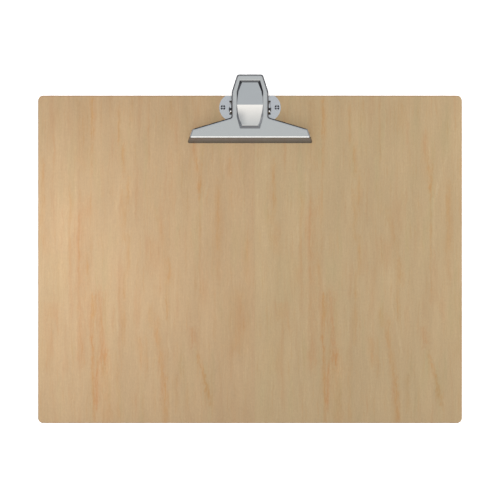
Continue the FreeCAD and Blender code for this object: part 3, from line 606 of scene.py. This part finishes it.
def tube(name, path, radius, sides=WIRE_SIDES):
    """A round wire along a dense path, with softly rounded ends."""
    mesh = bpy.data.meshes.new(name)
    shape = bmesh.new()
    last = len(path) - 1
    side = None
    rings = []
    for n, point in enumerate(path):
        ahead = (path[min(n + 1, last)] - path[max(n - 1, 0)]).normalized()
        if side is None:
            side = ahead.orthogonal().normalized()
        side = (side - ahead * side.dot(ahead)).normalized()
        other = ahead.cross(side)
        steps = [(point, radius)]
        if n in (0, last):
            back = (ahead if n == 0 else -ahead) * END_SOFT * radius
            steps = [(point + back, radius), (point + back * 0.3, radius * 0.93), (point, radius * 0.72)]
            if n == 0:
                steps.reverse()
        for centre, size in steps:
            rings.append([
                shape.verts.new(centre + (side * math.cos(a) + other * math.sin(a)) * size)
                for a in (2 * math.pi * k / sides for k in range(sides))
            ])
    for low, high in zip(rings, rings[1:]):
        for k in range(sides):
            nxt = (k + 1) % sides
            shape.faces.new((low[k], low[nxt], high[nxt], high[k]))
    shape.faces.new(list(reversed(rings[0])))
    shape.faces.new(rings[-1])
    bmesh.ops.recalc_face_normals(shape, faces=shape.faces)
    for face in shape.faces:
        face.smooth = len(face.verts) == 4
    shape.to_mesh(mesh)
    shape.free()
    made = bpy.data.objects.new(name, mesh)
    bpy.context.scene.collection.objects.link(made)
    return made


joint = frame["joints"][0]
hinge = Vector(joint["pos_m"])
WIRE = 0.8 * MM  # the wire's radius
COIL = 3.3 * MM  # the coil's, to the middle of the wire
PITCH = 1.66 * MM
TURNS = 9.5
DROP = math.radians(4.7)  # the base leg leans down by this
RISE = math.radians(9.4)  # and the lever's leg up by this
LEG = 13.2 * MM
COIL_STEPS = 420
LEG_STEPS = 8
sweep = 2 * math.pi * TURNS - DROP - RISE
half_coil = PITCH * sweep / (4 * math.pi)


def coil_point(turned):
    """A point of the coil, counted in radians from where the base leg meets it."""
    angle = -math.pi / 2 - DROP - turned
    along = half_coil - PITCH * turned / (2 * math.pi)
    return hinge + Vector((along, COIL * math.cos(angle), COIL * math.sin(angle)))


winding = [coil_point(sweep * n / COIL_STEPS) for n in range(COIL_STEPS + 1)]
nudge = 1e-4  # radians, to read the coil's direction at its ends
base_way = (coil_point(0.0) - coil_point(nudge)).normalized()
lever_way = (coil_point(sweep) - coil_point(sweep - nudge)).normalized()
base_leg = [winding[0] + base_way * LEG * (1 - n / LEG_STEPS) for n in range(LEG_STEPS)]
lever_leg = [winding[-1] + lever_way * LEG * (n + 1) / LEG_STEPS for n in range(LEG_STEPS)]
spring = tube("torsion_spring_wire", base_leg + winding + lever_leg, WIRE)
spring.data.materials.append(wire_steel)
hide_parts("torsion_spring")
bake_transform(spring)


# ------------------------------------------------------------------ floor, light, camera
FLOOR_WIDE, FLOOR_GAP = 30.0, 0.0003
FLOOR_GLOW = 0.45
FLOOR_TONE = (0.95, 0.95, 0.95, 1.0)


def floor():
    """Plain pale paper under the board, which glows enough to stay white."""
    bpy.ops.mesh.primitive_plane_add(size=FLOOR_WIDE, location=(0, 0, -FLOOR_GAP))
    made = bpy.context.active_object
    made.name = "floor"
    s = Shader("floor_paper")
    s.surface.inputs["Specular IOR Level"].default_value = 0.0
    s.surface.inputs["Emission Strength"].default_value = FLOOR_GLOW
    s.surface.inputs["Emission Color"].default_value = (1.0, 1.0, 1.0, 1.0)
    made.data.materials.append(s.finish(Base_Color=FLOOR_TONE, Roughness=1.0))
    # the plated parts mirror the dim room round the table, not the paper under the board
    made.visible_glossy = False


def panel(name, place, size, power, shadow=True):
    """A soft box that faces straight down and lights without showing in the metal."""
    light = bpy.data.lights.new(name, "AREA")
    light.shape = "RECTANGLE"
    light.size, light.size_y = size
    light.energy = power
    light.use_shadow = shadow
    made = bpy.data.objects.new(name, light)
    made.location = place
    made.visible_glossy = False
    made.visible_camera = False
    bpy.context.scene.collection.objects.link(made)


# A long soft box runs overhead from front to back; its brightness by how far the direction
# leans forward (-1 is level with the table towards the viewer, 1 level towards the back).
STRIP = [
    (-1.00, (0.45, 0.45, 0.45)),
    (-0.97, (0.95, 0.94, 0.92)),
    (-0.90, (1.25, 1.23, 1.20)),
    (-0.85, (1.80, 1.77, 1.72)),
    (-0.78, (2.10, 2.06, 2.00)),
    (-0.69, (1.45, 1.40, 1.32)),
    (-0.58, (1.02, 0.98, 0.92)),
    (-0.47, (0.66, 0.67, 0.66)),
    (-0.34, (0.585, 0.61, 0.615)),
    (-0.20, (0.54, 0.565, 0.575)),
    (0.00, (0.51, 0.54, 0.565)),
    (0.25, (0.46, 0.48, 0.50)),
    (0.68, (0.40, 0.41, 0.42)),
    (0.84, (0.27, 0.27, 0.28)),
    (0.92, (0.28, 0.28, 0.29)),
    (1.00, (0.40, 0.40, 0.40)),
]
# the room's walls on both sides, by height: dim close to the table and again high up
WALLS = [
    (0.00, 0.12), (0.04, 0.20), (0.18, 0.22), (0.28, 0.42), (0.48, 0.45),
    (0.58, 0.30), (0.68, 0.26), (0.90, 0.24), (1.00, 0.20),
]
STRIP_EDGE = (0.24, 0.46)  # where the strip gives way to the walls, by the lean to either side
HORIZON = (-0.02, 0.05)
GLINT_X, GLINT_LOW, GLINT_POWER = (-0.93, -0.98), (0.04, 0.12), 0.35
GLINT = (1.0, 0.99, 0.97)
WALL_BLUE = 1.04
BACKDROP = (0.95, 0.95, 0.95)


def room():
    """The world: dim walls either side, the overhead strip, and pale paper behind everything."""
    world = bpy.data.worlds.new("studio")
    bpy.context.scene.world = world
    world.use_nodes = True
    s = Shader.within(world.node_tree)
    coords = s.node("ShaderNodeTexCoord")
    x, y, z = s.split(coords.outputs["Generated"])
    top = max(max(colour) for _, colour in STRIP)
    lean = s.math("MULTIPLY_ADD", y, 0.5, 0.5)
    strip = s.ramp(lean, [
        ((at + 1) / 2, tuple(c / top for c in colour)) for at, colour in STRIP
    ])
    walls = s.ramp(z, [(at, (grey / top, grey / top, WALL_BLUE * grey / top)) for at, grey in WALLS])
    beside = s.step(s.math("ABSOLUTE", x), *STRIP_EDGE, 1.0, 0.0)
    above = s.step(z, *HORIZON)
    shown = s.mix(s.mul(beside, above), walls, strip)
    # a slim light low on the left, for the steep walls that face it
    glint = s.mul(s.step(x, *GLINT_X, 0.0, GLINT_POWER), s.step(z, *GLINT_LOW))
    shown = s.mix(glint, shown, GLINT)
    back = next(n for n in s.tree.nodes if n.type == "BACKGROUND")
    s.feed(back.inputs["Color"], shown)
    back.inputs["Strength"].default_value = top
    pale = s.node("ShaderNodeBackground")
    pale.inputs["Color"].default_value = (*BACKDROP, 1.0)
    rays = s.node("ShaderNodeLightPath")
    choose = s.node("ShaderNodeMixShader")
    s.feed(choose.inputs[0], rays.outputs["Is Camera Ray"])
    s.feed(choose.inputs[1], back.outputs[0])
    s.feed(choose.inputs[2], pale.outputs[0])
    out = next(n for n in s.tree.nodes if n.type == "OUTPUT_WORLD")
    s.feed(out.inputs["Surface"], choose.outputs[0])


floor()
room()
# one lamp close over the left end and one farther out on the right set how the light falls off
# along the board; the one behind the clamp is the only one that casts shadows
panel("left_box", (-0.249, -0.008, 0.328), (0.2, 0.2), 1.02, shadow=False)
panel("right_box", (0.88, 0.12, 0.583), (0.4, 0.4), 9.5, shadow=False)
panel("top_box", (0.0, 0.9, 1.9), (0.9, 0.5), 4.5)

LENS = 300.0
SENSOR = 36.0
VIEW_WIDE = 0.5188  # of the drawing face, across the picture
VIEW_Y = 0.0097
FACE_Z = 0.004  # the drawing face
camera_data = bpy.data.cameras.new("camera")
camera_data.lens = LENS
camera_data.sensor_width = SENSOR
camera_data.clip_end = 100.0
camera = bpy.data.objects.new("camera", camera_data)
camera.location = (0.0, VIEW_Y, FACE_Z + VIEW_WIDE * LENS / SENSOR)
bpy.context.scene.collection.objects.link(camera)
bpy.context.scene.camera = camera
bpy.context.scene.view_settings.view_transform = "Standard"
